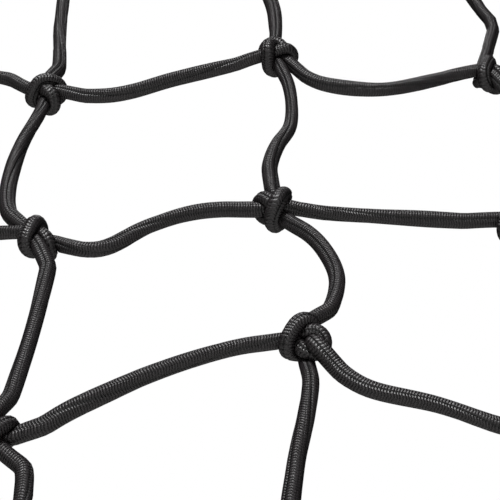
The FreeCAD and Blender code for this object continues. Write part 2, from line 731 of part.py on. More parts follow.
def pivot_fittings():
    outwards = Rotation(Y_AXIS, Z_AXIS, X_AXIS, "XYZ")
    radius = value("quadrant_radius")
    lock_bolts, plate_bolts, plate_nuts = [], [], []
    for name, side in SIDES:
        plate_start = QUADRANT_FACE if side == RIGHT else -QUADRANT_FACE - value("quadrant_plate")
        at = Placement(PIVOT + Vector(plate_start, 0, 0), outwards)
        subpart(f"{name}_quadrant_plate", quadrant(), at)

        lift = Placement(PIVOT, Rotation())
        disc = washer("pivot_bolt_dia", "washer_thickness")
        subpart(f"{name}_knob_washer", disc, lift * facing(side, side * WASHER_FACE))
        knob = star_knob("knob_radius", "knob_height", "pivot_bolt_dia", 6)
        subpart(f"{name}_tilt_knob", knob, lift * facing(side, side * KNOB_FACE))

        # The lock bolt's head is inside the rear leg, and its washer bears on the quadrant plate.
        head_face = REAR_LEG - TUBE - SADDLE
        washer_face = QUADRANT_FACE + value("quadrant_plate + fit_gap")
        disc = washer("lock_bolt_dia", "lock_washer_thickness")
        disc_at = REAR_GROUP * facing(side, side * washer_face, -radius)
        subpart(f"{name}_lock_washer", disc, disc_at)
        knob_face = washer_face + value("lock_washer_thickness + fit_gap")
        length = knob_face + 0.7 * value("lock_knob_height") - head_face
        shank = bolt("lock_bolt_dia", "lock_bolt_dia", "lock_bolt_dia * 0.6", length)
        shank.Placement = facing(side, side * head_face, -radius)
        lock_bolts.append(shank)
        lock_knob = star_knob("lock_knob_radius", "lock_knob_height", "lock_bolt_dia", 4)
        lock_at = REAR_GROUP * facing(side, side * knob_face, -radius)
        subpart(f"{name}_stand_lock_knob", lock_knob, lock_at)

        # The plate's own bolt comes in from outside the front leg, with its nut inside the plate.
        head_face = FRONT_LEG + TUBE + SADDLE
        nut_face = QUADRANT_FACE
        nut_height = value("running_gap + lock_bolt_dia * 0.75")
        length = head_face - nut_face + nut_height
        shank = bolt("lock_bolt_dia", "lock_bolt_dia", "lock_bolt_dia * 0.6", length)
        shank.Placement = facing(-side, side * head_face, -radius)
        plate_bolts.append(shank)
        blank = plate(hexagon("lock_bolt_dia * 5 / 3"), "lock_bolt_dia * 0.75")
        nut = cut(blank, [cylinder("lock_bolt_dia / 2 + touch_gap", "3 * lock_bolt_dia", shift(z=-4))])
        nut.Placement = facing(-side, side * (nut_face - value("touch_gap")), -radius)
        plate_nuts.append(nut)
    subpart("stand_lock_bolts", grouped(lock_bolts), REAR_GROUP)
    subpart("quadrant_bolts", grouped(plate_bolts), FRONT_GROUP)
    subpart("quadrant_nuts", grouped(plate_nuts), FRONT_GROUP)


# ---------------------------------------------------------------- build, check, write


def failed(thing):
    return [state for state in thing.State if state in ("Invalid", "Error")]


def write_all():
    doc.recompute()
    broken = [thing.Label for thing in doc.Objects if failed(thing)]
    if broken:
        raise RuntimeError(f"these objects failed: {broken}")
    for thing in SUBPARTS:
        shape = thing.Shape
        if shape.isNull() or not shape.isValid() or not shape.Solids:
            raise RuntimeError(f"{thing.Label} has no valid solid")
    os.makedirs("parts", exist_ok=True)
    for thing in SUBPARTS:
        thing.Shape.exportStep(f"parts/{thing.Label}.step")
        shape = thing.Shape
        print(f"{thing.Label}: {len(shape.Solids)} solids, {shape.Volume / 1000:.1f} cm3")


net_frame()
net_cords()
net_knots()
net_ties()
stand("front", FRONT_GROUP, FRONT_LEG, -1)
stand("rear", REAR_GROUP, REAR_LEG, 1)
pivot_fittings()
write_all()
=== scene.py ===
"""The looks of the pitch back rebounder: the knotted elastic net, its ties, and every surface's material.

Lengths are in metres unless a name says that they are in cord diameters. The net's own frame is
(across, up, out): across is +X, up runs along the leaning net, and out points at the player.
"""

import bpy
import bmesh
import json
import math
import numpy as np
from mathutils import Matrix, Vector


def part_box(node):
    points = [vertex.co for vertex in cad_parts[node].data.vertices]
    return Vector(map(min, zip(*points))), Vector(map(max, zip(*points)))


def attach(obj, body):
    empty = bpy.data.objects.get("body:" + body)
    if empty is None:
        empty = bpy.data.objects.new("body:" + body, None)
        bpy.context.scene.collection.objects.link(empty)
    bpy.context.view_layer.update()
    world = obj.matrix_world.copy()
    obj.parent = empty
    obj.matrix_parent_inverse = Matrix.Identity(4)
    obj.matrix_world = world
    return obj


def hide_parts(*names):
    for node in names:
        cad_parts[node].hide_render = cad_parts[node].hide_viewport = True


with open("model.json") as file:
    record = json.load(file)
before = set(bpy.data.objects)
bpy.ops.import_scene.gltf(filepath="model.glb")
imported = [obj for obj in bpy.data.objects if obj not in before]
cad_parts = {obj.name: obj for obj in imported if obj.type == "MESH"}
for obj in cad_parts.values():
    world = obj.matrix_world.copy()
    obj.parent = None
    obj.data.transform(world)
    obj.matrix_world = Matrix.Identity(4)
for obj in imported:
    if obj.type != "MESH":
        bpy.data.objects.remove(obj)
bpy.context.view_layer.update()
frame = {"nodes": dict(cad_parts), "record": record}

# ---------------------------------------------------------------- dimensions, as in the frame

CORD = 0.004
PITCH = 0.064
COUNT = 16
TUBE_R = 0.016
FRAME_HALF = PITCH * (COUNT + 1) / 2
LAYER = 0.0021
CRIMP_LENGTH = 0.008
CRIMP_AT = FRAME_HALF - TUBE_R - 0.014
CORD_TAIL = 0.009
LOOP_R = TUBE_R + CORD / 2 + 0.0001

JOINTS = {joint["name"]: joint for joint in frame["record"]["behaviour"]["joints"]}
PIVOT = np.array(JOINTS["net_tilt"]["pos_m"])
# A snap button of the net frame is pressed straight at the player's side, which is the net's normal.
OUT = np.array(JOINTS["top_left_snap_button_press"]["axis"])
OUT = OUT / np.linalg.norm(OUT)
ACROSS = np.array([1.0, 0.0, 0.0])
UP = np.cross(OUT, ACROSS)
UP = UP if UP[2] > 0 else -UP
NET_AXES = np.stack([ACROSS, UP, OUT])

rng = np.random.default_rng(20)


def to_world(points):
    """Points of the net's own frame, in the frame's metres."""
    return PIVOT + np.asarray(points) @ NET_AXES


# ---------------------------------------------------------------- smooth paths


def smooth_path(points, per_run=24):
    """A dense Catmull-Rom path through the points."""
    points = np.asarray(points, float)
    ends = [2 * points[0] - points[1]], [2 * points[-1] - points[-2]]
    guide = np.vstack([ends[0], points, ends[1]])
    t = np.linspace(0, 1, per_run, endpoint=False)[:, None]
    runs = []
    for a, b, c, d in zip(guide, guide[1:], guide[2:], guide[3:]):
        run = 2 * b + (c - a) * t + (2 * a - 5 * b + 4 * c - d) * t**2 + (3 * b - a - 3 * c + d) * t**3
        runs.append(run / 2)
    return np.vstack(runs + [points[-1:]])


def lengths_along(path):
    gaps = np.linalg.norm(np.diff(path, axis=0), axis=1)
    return np.concatenate([[0.0], np.cumsum(gaps)])


def at_lengths(path, wanted):
    along = lengths_along(path)
    return np.stack([np.interp(wanted, along, path[:, k]) for k in range(3)], axis=1)


def evenly(path, count):
    return at_lengths(path, np.linspace(0, lengths_along(path)[-1], count))


# ---------------------------------------------------------------- the knot: a sheet bend
#
# In cord diameters, drawn with its bight's legs up. x is to the right, y up, z at the player.

BIGHT = [
    (-2.7, 2.7, 0), (-1.2, 1.8, 0), (-1, 0.5, 0), (-0.9, -0.8, 0), (0, -1.6, -0.1),
    (0.9, -0.8, 0), (1, 0.5, 0), (1.2, 1.8, 0), (2.7, 2.7, 0),
]
WRAP = [
    (-2.7, -2.7, 0), (-0.8, -2.1, 0.6), (0, -1.6, 0.9), (0, -0.2, -1.6), (0.9, 0.5, -1.3), (2.2, 1.2, -0.2),
    (1, 1.9, 1), (-1, 1.9, 1), (-2.2, 1.2, -0.2), (-1.1, 0.3, -1), (0, -0.2, -0.6), (1.2, -0.8, -1),
    (1.8, -1.7, -0.5), (2.7, -2.7, 0),
]
LEG = 2.7 * math.sqrt(2)
BIGHT_POINTS = 44
WRAP_POINTS = 64

# Pulling a knot tight: how strongly its strands shorten and straighten in a round, how near two
# centrelines come before they touch and before they are watched, and the share of an overlap that
# each push takes out. Elastic cord squashes, so it touches at less than its diameter.
PULL, BEND = 0.45, 0.12
CONTACT = 0.70
WATCHED = CONTACT * 1.3
PUSH = 0.3
PUSHES = 3
ROUNDS_TO_A_WATCH = 10
# Points at each end of a strand that stay put.
PINNED = 3
# Stretches of one cord that are less than this far apart along it don't press on each other.
SAME_STRETCH = 1.7
TIGHT_ROUNDS = 1800
LAID_ROUNDS = 200


def strand_smoothing(strand):
    """How far each inner point of a strand moves to shorten and straighten it."""
    tight = np.zeros_like(strand)
    tight[:, 1:-1] = 0.5 * (strand[:, :-2] + strand[:, 2:]) - strand[:, 1:-1]
    stiff = np.zeros_like(strand)
    stiff[:, 1:-1] = 0.5 * (tight[:, :-2] + tight[:, 2:]) - tight[:, 1:-1]
    return PULL * tight - BEND * stiff


def near_pairs(points, apart):
    """Indices (knot, first point, second point) of points that are nearly in contact."""
    found = []
    for k, knot in enumerate(points):
        gap = knot[:, None] - knot[None, :]
        i, j = np.nonzero(apart & ((gap**2).sum(axis=2) < WATCHED**2))
        found.append(np.stack([np.full(len(i), k), i, j]))
    return np.concatenate(found, axis=1)


def settle(points, rounds):
    """Pulls a stack of knots tight. points is knots x (bight then wrap points) x 3, in diameters."""
    points = points.copy()
    count = points.shape[1]
    strand = np.arange(count) >= BIGHT_POINTS
    order = np.where(strand, np.arange(count) - BIGHT_POINTS, np.arange(count))
    free = (order >= PINNED) & (order < np.where(strand, WRAP_POINTS, BIGHT_POINTS) - PINNED)
    for turn in range(rounds):
        if turn % ROUNDS_TO_A_WATCH == 0:
            step = np.linalg.norm(np.diff(points[:, BIGHT_POINTS:], axis=1), axis=2).mean()
            far = np.abs(order[:, None] - order[None, :]) * step > SAME_STRETCH
            apart = np.triu((strand[:, None] != strand[None, :]) | far, 1)
            k, i, j = near_pairs(points, apart)
            first, second = k * count + i, k * count + j
        moved = points.copy()
        for part in (slice(0, BIGHT_POINTS), slice(BIGHT_POINTS, count)):
            moved[:, part] += strand_smoothing(points[:, part])
        points[:, free] = moved[:, free]
        flat = points.reshape(-1, 3)
        loose = np.tile(free, len(points))
        for _ in range(PUSHES):
            gap = flat[first] - flat[second]
            size = np.sqrt((gap**2).sum(axis=1)) + 1e-9
            push = gap * (np.clip(CONTACT - size, 0, None) / size * PUSH)[:, None]
            for axis in range(3):
                total = np.bincount(first, push[:, axis], len(flat))
                total -= np.bincount(second, push[:, axis], len(flat))
                flat[loose, axis] += total[loose]
        points = flat.reshape(points.shape)
    return points


def eighth_turn(points):
    """Turns the knot so that the bight's legs lie left and up, and the wrap's down and right."""
    x, y, z = np.asarray(points, float).T
    half = math.sqrt(0.5)
    return np.stack([half * (x - y), half * (x + y), z], axis=1)


def tight_knot():
    """The points of the bight and the wrap of one knot pulled tight, in diameters."""
    bight = evenly(smooth_path(eighth_turn(BIGHT)), BIGHT_POINTS)
    wrap = evenly(smooth_path(eighth_turn(WRAP)), WRAP_POINTS)
    return settle(np.vstack([bight, wrap])[None], TIGHT_ROUNDS)[0]


# ---------------------------------------------------------------- the net: where its knots and spans lie
#
# A knot is (column, row), counted from the bottom left. Shifts and bows are in millimetres: across, up
# and out for a knot, and (share of the span, sideways) for a span, where sideways is up on a row and
# to the left on a column that is followed upwards.

KNOT_SHIFTS = {
    (7, 10): (0, 0, 0), (8, 10): (0, 0, 0), (9, 10): (0, 0, 0), (6, 9): (0, 0, 0), (6, 8): (0, 0, 0),
    (6, 7): (0, -2, 0), (7, 6): (0, 0, 0), (8, 6): (0, 0, 0),
    (7, 9): (-2, -3.5, -2), (8, 9): (3.2, 3.4, 5), (9, 9): (3.2, -1.5, -1),
    (7, 8): (1, -4, -2), (8, 8): (-1.5, 2, 0.5), (9, 8): (-1.5, -3, -3.5),
    (7, 7): (-5.5, -7.8, -1), (8, 7): (2.5, 12, 6), (9, 7): (-5.5, -14, -2),
}
ROW_BOWS = {
    (6, 9): [(0.45, 7), (0.78, 8)],
    (7, 9): [(0.29, -6), (0.57, -3), (0.86, -1)],
    (8, 9): [(0.13, -9), (0.26, -13), (0.5, -12.5), (0.76, -4.5), (0.9, 1)],
    (6, 8): [(0.5, 2), (0.84, 1)],
    (7, 8): [(0.12, -5), (0.27, -7.2), (0.47, -0.8), (0.7, 2.5)],
    (8, 8): [(0.3, -0.5), (0.6, -0.2), (0.85, 0)],
    (7, 7): [(0.12, -2.6), (0.25, 0.2), (0.37, 2), (0.5, 3.6), (0.67, 4.3), (0.83, 3.5)],
    (8, 7): [(0.14, -4), (0.3, -6.5), (0.55, -3.5), (0.78, -2.5)],
}
COLUMN_BOWS = {
    (7, 9): [(0.16, -3), (0.5, -1.5), (0.8, -1)],
    (7, 8): [(0.13, 7.5), (0.32, 9), (0.6, 6.5), (0.85, 1.5)],
    (7, 7): [(0.1, -2.4), (0.3, -3.6), (0.5, -4.3), (0.72, -4.4), (0.9, -3.8)],
    (7, 6): [(0.5, -6), (0.7, -7.8), (0.86, -7.2)],
    (8, 9): [(0.3, -2), (0.56, -2.5)],
    (8, 8): [(0.12, 0), (0.24, 1), (0.38, -1), (0.5, -4.5), (0.66, -5), (0.83, -3.5)],
    (8, 7): [(0.12, -6), (0.29, -10.5), (0.47, -12), (0.7, -9.5), (0.88, -4)],
    (8, 6): [(0.3, 4.5), (0.53, 3), (0.72, 0), (0.87, -1.5)],
    (9, 9): [(0.1, -1.5), (0.22, -3.4), (0.39, -7.5), (0.54, -5.7), (0.7, -4)],
    (9, 8): [(0.15, -4), (0.5, -7), (0.85, -6.5)],
}

# How far the other knots and spans stray, as standard deviations: a knot across, up and out, a span
# in one arch and in an S, and a span out of the net's plane. In millimetres.
KNOT_SCATTER = (3.2, 3.2, 2.8)
MOST_SHIFT = 8
BOW_SCATTER = (4.6, 2.6)
DEPTH_SCATTER = 2.0
CRIMP_GAP = 0.001
# How far a cut end stands off, from and to, in layers, and how far it strays sideways.
TAIL_LIFT = (0.9, 1.9)
TAIL_SCATTER = 0.0012
# How far past a crimp its cord comes onto the path of the edge span.
PAST_CRIMP = 0.003


def lattice(column, row):
    """The place of a knot on the even square lattice, in the net's frame."""
    middle = (COUNT - 1) / 2
    return np.array([(column - middle) * PITCH, (row - middle) * PITCH, 0.0])


def slackness(least, lanes_in):
    """How freely a knot or span moves: least at the frame, and wholly a few lanes in from it."""
    return min(1.0, least + 0.2 * lanes_in)


def place_knots():
    """Every knot's centre in the net's frame. The outermost ones are held nearer their places."""
    knots = np.zeros((COUNT, COUNT, 3))
    for column in range(COUNT):
        for row in range(COUNT):
            slack = slackness(0.45, min(column, row, COUNT - 1 - column, COUNT - 1 - row))
            shift = np.clip(rng.normal(0, KNOT_SCATTER), -MOST_SHIFT, MOST_SHIFT) * slack
            shift = np.array(KNOT_SHIFTS.get((column, row), shift))
            knots[column, row] = lattice(column, row) + shift / 1000
    return knots


def random_bows(slack):
    """A slow wave in the net's plane, as a few points along a span."""
    arch, snake = (rng.normal(0, scatter) * slack for scatter in BOW_SCATTER)
    shares = (0.2, 0.4, 0.6, 0.8)
    return [(s, arch * math.sin(math.pi * s) + snake * math.sin(2 * math.pi * s)) for s in shares]


def span_path(start, end, bows, depth):
    """A dense path between two knots' centres, with its bows and a slight wave in depth."""
    along = end - start
    sideways = np.array([-along[1], along[0], 0.0]) / np.linalg.norm(along[:2])
    points = [start]
    for share, bow in bows:
        wave = depth * math.sin(math.pi * share)
        points.append(start + share * along + sideways * bow / 1000 + np.array([0, 0, wave / 1000]))
    return smooth_path(points + [end])


def edge_span(knot, side, along):
    """From an outermost knot to its crimp. side is 1 for right or top and -1 for left or bottom; along
    is 0 for a row and 1 for a column."""
    start_of_crimp, neck = knot.copy(), knot.copy()
    first_lane = lattice(0, 0)[0]
    for point, reach in ((start_of_crimp, CRIMP_AT - CRIMP_LENGTH - CRIMP_GAP), (neck, CRIMP_AT)):
        point[along] = side * reach
        point[1 - along] = round((knot[1 - along] - first_lane) / PITCH) * PITCH + first_lane
        point[2] = LAYER if along == 0 else -LAYER
    return smooth_path([knot, start_of_crimp, neck])


def all_spans(knots):
    """Dense paths, keyed by axis (0 row, 1 column) and the knot at its left or lower end. The spans at
    the edges have column or row -1 for the left or bottom."""
    spans = {}
    for axis, table in ((0, ROW_BOWS), (1, COLUMN_BOWS)):
        for lane in range(COUNT):
            for k in range(-1, COUNT):
                here = (k, lane) if axis == 0 else (lane, k)
                after = (k + 1, lane) if axis == 0 else (lane, k + 1)
                if k == -1:
                    spans[axis, here] = edge_span(knots[after], -1, axis)[::-1]
                elif k == COUNT - 1:
                    spans[axis, here] = edge_span(knots[here], 1, axis)
                else:
                    slack = slackness(0.35, min(k, COUNT - 2 - k, lane, COUNT - 1 - lane))
                    bows, depth = random_bows(slack), rng.normal(0, DEPTH_SCATTER) * slack
                    if here in table:
                        bows, depth = table[here], 0
                    spans[axis, here] = span_path(knots[here], knots[after], bows, depth)
    return spans


# ---------------------------------------------------------------- knots pulled tight on their own legs

# How a knot is seen: "mirrored" is left-handed, "reversed" shows its other side, and "turned" has its
# bight's legs right and down. The roll, in degrees, is about the diagonal through its bight. ROLL is
# the standard deviation of the other knots' rolls.
ROLL = 40
KNOT_LAYS = {
    (7, 9): ("", 60), (8, 9): ("turned reversed", -30), (9, 9): ("mirrored", -90),
    (7, 8): ("mirrored", -75), (8, 8): ("turned mirrored", 60), (9, 8): ("mirrored", -60),
    (7, 7): ("turned", 30), (8, 7): ("mirrored", 90), (9, 7): ("", 0),
}
# Where a leg starts to bend onto its span, from its end, and over what length, in diameters, and the
# same for where a knot's roll fades out.
FIT_FROM, FIT_OVER = 2.0, 1.3
ROLL_FROM, ROLL_OVER = LEG - 0.6, 1.5


def turn_about(points, axis, degrees):
    """Each point turned about an axis through the origin by its own angle."""
    angle = np.radians(degrees)[:, None]
    cross = np.cross(axis, points)
    return (
        points * np.cos(angle) + cross * np.sin(angle)
        + axis * (points @ axis)[:, None] * (1 - np.cos(angle))
    )


def fit_leg(strand, path, centre, from_start):
    """Bends one end of a strand onto the span that it runs into. In diameters."""
    order = strand if from_start else strand[::-1]
    from_end = lengths_along(order)
    target = at_lengths((path - centre) / CORD, LEG - from_end)
    blend = np.clip((FIT_FROM - from_end) / FIT_OVER, 0, 1)[:, None]
    blend = blend * blend * (3 - 2 * blend)
    fitted = target * blend + order * (1 - blend)
    return fitted if from_start else fitted[::-1]


def lay_knot(shape, words, roll):
    """The tight knot as one of the net's knots holds it, before its legs are bent onto the spans."""
    points = shape.copy()
    if "mirrored" in words:
        points = np.stack([-points[:, 1], -points[:, 0], points[:, 2]], axis=1)
        points = np.vstack([points[:BIGHT_POINTS][::-1], points[BIGHT_POINTS:][::-1]])
    if "reversed" in words:
        points[:, 2] *= -1
    if "turned" in words:
        points[:, :2] *= -1
    diagonal = np.array([math.sqrt(0.5), -math.sqrt(0.5), 0.0])
    reach = np.linalg.norm(points, axis=1)
    return turn_about(points, diagonal, roll * np.clip((ROLL_FROM - reach) / ROLL_OVER, 0, 1))


def tie_all_knots(knots, spans):
    """The strands of every knot, in the net's frame: (column, row) to the strand from its left leg to its
    upper one and the strand from its lower leg to its right one."""
    shape = tight_knot()
    stack, lays = [], []
    places = [(column, row) for column in range(COUNT) for row in range(COUNT)]
    for column, row in places:
        centre = knots[column, row]
        words = " ".join(word for word in ("mirrored", "reversed", "turned") if rng.random() < 0.5)
        words, roll = KNOT_LAYS.get((column, row), (words, rng.normal(0, ROLL)))
        points = lay_knot(shape, words, roll)
        left = spans[0, (column - 1, row)][::-1]
        down = spans[1, (column, row - 1)][::-1]
        legs = [left, spans[1, (column, row)], down, spans[0, (column, row)]]
        if "turned" in words:
            legs = legs[::-1]
        bight, wrap = points[:BIGHT_POINTS], points[BIGHT_POINTS:]
        bight = fit_leg(fit_leg(bight, legs[0], centre, True), legs[1], centre, False)
        wrap = fit_leg(fit_leg(wrap, legs[2], centre, True), legs[3], centre, False)
        stack.append(np.vstack([bight, wrap]))
        lays.append(words)
    settled = settle(np.array(stack), LAID_ROUNDS)
    strands = {}
    for place, words, points in zip(places, lays, settled):
        points = points * CORD + knots[place]
        bight, wrap = points[:BIGHT_POINTS], points[BIGHT_POINTS:]
        strands[place] = (wrap[::-1], bight[::-1]) if "turned" in words else (bight, wrap)
    return strands


# ---------------------------------------------------------------- whole cords


def tie_loop(side, lane, axis):
    """A cord's end, from its crimp's inner end round the frame tube to its cut end."""
    neck = np.array([CRIMP_AT - FRAME_HALF, LAYER])
    reach = np.linalg.norm(neck)
    touch = math.atan2(neck[1], neck[0]) - math.acos(LOOP_R / reach)
    ring = [(LOOP_R * math.cos(turn), LOOP_R * math.sin(turn)) for turn in np.linspace(touch, -touch, 18)]
    crimp_start = neck[0] - CRIMP_LENGTH - CRIMP_GAP
    flat = [(crimp_start, LAYER), tuple(neck)] + ring + [(neck[0], -LAYER), (crimp_start, -LAYER)]
    flat.append((crimp_start - CORD_TAIL, -LAYER * rng.uniform(*TAIL_LIFT)))
    layer = 1 if axis == 0 else -1
    points = np.zeros((len(flat), 3))
    for point, (away, depth) in zip(points, flat):
        point[axis] = side * (FRAME_HALF + away)
        point[1 - axis] = lane
        point[2] = depth * layer
    points[-1, 1 - axis] += rng.normal(0, TAIL_SCATTER)
    return smooth_path(points, per_run=10)


def follow_cord(spans, strands, axis, lane):
    """One net cord from its left or bottom tie, up and to the right in steps, to its far tie."""
    pieces = [tie_loop(-1, lattice(lane, lane)[0], axis)[::-1]]
    column, row = (0, lane) if axis == 0 else (lane, 0)
    arriving = axis
    begin = in_crimp = CRIMP_LENGTH + PAST_CRIMP
    while True:
        span = spans[arriving, (column - 1, row) if arriving == 0 else (column, row - 1)]
        end = lengths_along(span)[-1] - LEG * CORD
        pieces.append(at_lengths(span, np.linspace(begin, end, 30))[:-1])
        pieces.append(strands[column, row][arriving])
        begin = LEG * CORD
        leaving = 1 - arriving
        if leaving == 1 and row == COUNT - 1 or leaving == 0 and column == COUNT - 1:
            break
        column, row = (column + 1, row) if leaving == 0 else (column, row + 1)
        arriving = leaving
    span = spans[leaving, (column, row)]
    end = lengths_along(span)[-1] - in_crimp
    pieces.append(at_lengths(span, np.linspace(begin, end, 12))[1:])
    pieces.append(tie_loop(1, lattice(column, row)[1 - leaving], leaving))
    return np.vstack(pieces)


# ---------------------------------------------------------------- the cords' meshes
#
# A cord is rings of points round its centreline. Near the middle of the net, where it is seen close up,
# it has more rings and sides, and the long grooves of its cover.

STEP = 0.0004
CLOSE_SIDES = 24
FAR_SIDES = 8
CLOSE_MIDDLE = lattice(8, 8)
CLOSE_REACH = 0.105
# The gap between two rings: the angle that the cord may turn in it, and its least and most length.
CLOSE_GAPS = (0.20, 0.0007, 0.0016)
FAR_GAPS = (0.50, 0.0018, 0.0055)
GROOVES = (0, 8, 17)
GROOVE_DEPTH = 0.11
# Slack elastic cord is a little thicker than its nominal size. Its girth has smoothed random lumps, and
# girth and roundness change in slow waves, each a share of the radius and the wave's radians a metre.
GIRTH = 1.06
LUMPS = 0.16
SWELLS = [(0.05, 57), (0.03, 134)]
OVAL = (0.035, 47)
# The cord's twist in radians a metre, and waves in it, each in radians and radians a metre.
TWIST = 14.0
TWIST_WAVES = [(0.9, 31), (0.5, 87)]
# The rounded end where a cord was cut and sealed: steps outwards, and shares of the radius.
SEALED_END = [(0, 0.96), (0.0006, 0.9), (0.0011, 0.7), (0.0014, 0.35)]
# Where cords press on each other, in metres from a knot and in diameters, and how flat they may get.
KNOT_REACH = 0.030
PRESS_REACH = 1.05
FLATTEST = 0.35
CLEARANCE = 0.985


def soften(values, passes):
    values = values.copy()
    for _ in range(passes):
        values[1:-1] = 0.25 * values[:-2] + 0.5 * values[1:-1] + 0.25 * values[2:]
    return values


def unit(vectors):
    return vectors / (np.linalg.norm(vectors, axis=-1, keepdims=True) + 1e-12)


def angles(sides):
    """The angles of a ring's points."""
    return np.arange(sides) * 2 * math.pi / sides


def is_close(points):
    return np.linalg.norm(points[:, :2] - CLOSE_MIDDLE[:2], axis=1) < CLOSE_REACH


def ring_gap(bend, gaps):
    angle, least, most = gaps
    return np.clip(angle / bend, least, most)


def ring_centres(path):
    """Ring centres along a path, closer together in its bends, their lengths along it, and whether
    each is in the part that is seen close up."""
    fine = soften(evenly(path, round(lengths_along(path)[-1] / STEP)), 6)
    bend = np.linalg.norm(np.gradient(unit(np.gradient(fine, axis=0)), axis=0), axis=1) / STEP
    bend = soften(bend, 8) + 1e-6
    gap = np.where(is_close(fine), ring_gap(bend, CLOSE_GAPS), ring_gap(bend, FAR_GAPS))
    along = lengths_along(fine)
    share = np.concatenate([[0], np.cumsum(np.diff(along) / soften(gap, 4)[1:])])
    wanted = np.interp(np.linspace(0, share[-1], math.ceil(share[-1]) + 1), share, along)
    centres = at_lengths(fine, wanted)
    return centres, wanted, is_close(centres)


def carried_sides(centres, along):
    """Two directions across the cord at each ring, carried along it and slowly twisted."""
    forward = unit(np.gradient(centres, axis=0))
    side = unit(np.cross(forward[0], [0.3, 0.5, 0.8]))
    sides = []
    for direction in forward:
        side = side - direction * (side @ direction)
        side = side / math.sqrt(side @ side)
        sides.append(side)
    first = np.array(sides)
    second = np.cross(forward, first)
    turn, *phases = rng.uniform(0, 6.3, 3)
    twist = TWIST * along + turn
    for (size, pace), phase in zip(TWIST_WAVES, phases):
        twist += size * np.sin(along * pace + phase)
    cos, sin = np.cos(twist)[:, None], np.sin(twist)[:, None]
    return first * cos + second * sin, second * cos - first * sin


def cord_rings(path):
    """The points of a cord's rings, as a list of arrays, with centres and lengths along it."""
    centres, along, close = ring_centres(path)
    first, second = carried_sides(centres, along)
    swell = soften(rng.normal(0, LUMPS, len(along)), 30 if len(along) > 90 else 5)
    for share, pace in SWELLS:
        swell += share * np.sin(along * pace + rng.uniform(0, 6))
    oval = OVAL[0] * np.sin(along * OVAL[1] + rng.uniform(0, 6))
    rings = []
    for k, centre in enumerate(centres):
        sides = CLOSE_SIDES if close[k] else FAR_SIDES
        angle = angles(sides)
        radius = CORD / 2 * (GIRTH + swell[k] + oval[k] * np.cos(2 * angle))
        if close[k]:
            for groove in GROOVES:
                radius[groove] *= 1 - GROOVE_DEPTH
                radius[[groove - 1, (groove + 1) % sides]] *= 1 - GROOVE_DEPTH / 4
        cos, sin = np.cos(angle)[:, None], np.sin(angle)[:, None]
        rings.append(centre + radius[:, None] * (cos * first[k] + sin * second[k]))
    for end, inner in ((0, 1), (-1, -2)):
        tip, ring, outward = centres[end], rings[end], unit(centres[end] - centres[inner])
        seal = [tip + outward * reach + (ring - tip) * size for reach, size in SEALED_END]
        rings = seal[::-1] + rings if end == 0 else rings + seal
    ends = len(SEALED_END)
    centres = np.vstack([np.repeat(centres[:1], ends, 0), centres, np.repeat(centres[-1:], ends, 0)])
    along = np.concatenate([np.repeat(along[0], ends), along, np.repeat(along[-1], ends)])
    return {"rings": rings, "centres": centres, "along": along}


def press_together(cords):
    """Flattens the cords where they press on each other in a knot: no point passes the plane half way
    to another stretch of cord."""
    owner = np.concatenate([np.full(len(c["centres"]), k) for k, c in enumerate(cords)])
    number = np.concatenate([np.arange(len(c["centres"])) for c in cords])
    centres = np.vstack([c["centres"] for c in cords])
    along = np.concatenate([c["along"] for c in cords])
    cell = np.rint(centres[:, :2] / PITCH + (COUNT - 1) / 2).astype(int)
    middle = (cell - (COUNT - 1) / 2) * PITCH
    inside = (cell >= 0).all(1) & (cell < COUNT).all(1)
    inside &= np.linalg.norm(centres[:, :2] - middle, axis=1) < KNOT_REACH
    key = cell[:, 0] * COUNT + cell[:, 1]
    for knot in range(COUNT * COUNT):
        members = np.nonzero(inside & (key == knot))[0]
        where = centres[members]
        same = owner[members][:, None] == owner[members][None, :]
        apart = np.abs(along[members][:, None] - along[members][None, :])
        pressed = ~same | (apart > SAME_STRETCH * CORD)
        pressed &= np.linalg.norm(where[:, None] - where[None, :], axis=2) < CORD * PRESS_REACH
        for i, member in enumerate(members):
            others = where[pressed[i]]
            if not len(others):
                continue
            ring = cords[owner[member]]["rings"][number[member]]
            centre = where[i]
            between = others - centre
            reach = (ring - centre) @ between.T
            limit = (between**2).sum(1)[None, :] / 2
            share = np.where(reach > 1e-12, limit / np.maximum(reach, 1e-12), 9).min(axis=1)
            share = np.clip(share, FLATTEST, 1)
            ring[:] = centre + (ring - centre) * np.where(share < 1, share * CLEARANCE, 1)[:, None]


def place_object(name, data):
    obj = bpy.data.objects.new(name, data)
    bpy.context.scene.collection.objects.link(obj)
    return obj


def cord_mesh(name, cord):
    """A cord's mesh from its rings. Where the number of sides changes, wide faces join the rings. Each
    point keeps the cosine and sine of its angle round the cord, and its length along it."""
    rings = cord["rings"]
    starts = np.concatenate([[0], np.cumsum([len(ring) for ring in rings])])
    faces = [list(range(len(rings[0])))[::-1]]
    for k in range(len(rings) - 1):
        here, there = starts[k], starts[k + 1]
        n, m = len(rings[k]), len(rings[k + 1])
        if n == m:
            faces += [[here + j, here + (j + 1) % n, there + (j + 1) % n, there + j] for j in range(n)]
        elif n < m:
            share = m // n
            for j in range(n):
                wide = [there + (j * share + i) % m for i in range(share, -1, -1)]
                faces.append([here + j, here + (j + 1) % n] + wide)
        else:
            share = n // m
            for j in range(m):
                wide = [here + (j * share + i) % n for i in range(share + 1)]
                faces.append(wide + [there + (j + 1) % m, there + j])
    faces.append(list(range(starts[-2], starts[-1])))
    mesh = bpy.data.meshes.new(name)
    mesh.from_pydata(to_world(np.vstack(rings)).tolist(), [], faces)
    mesh.shade_smooth()
    table = [
        (math.cos(a), math.sin(a), length)
        for ring, length in zip(rings, cord["along"])
        for a in angles(len(ring))
    ]
    attribute = mesh.attributes.new("cord", "FLOAT_VECTOR", "POINT")
    attribute.data.foreach_set("vector", np.array(table, np.float32).ravel())
    return place_object(name, mesh)


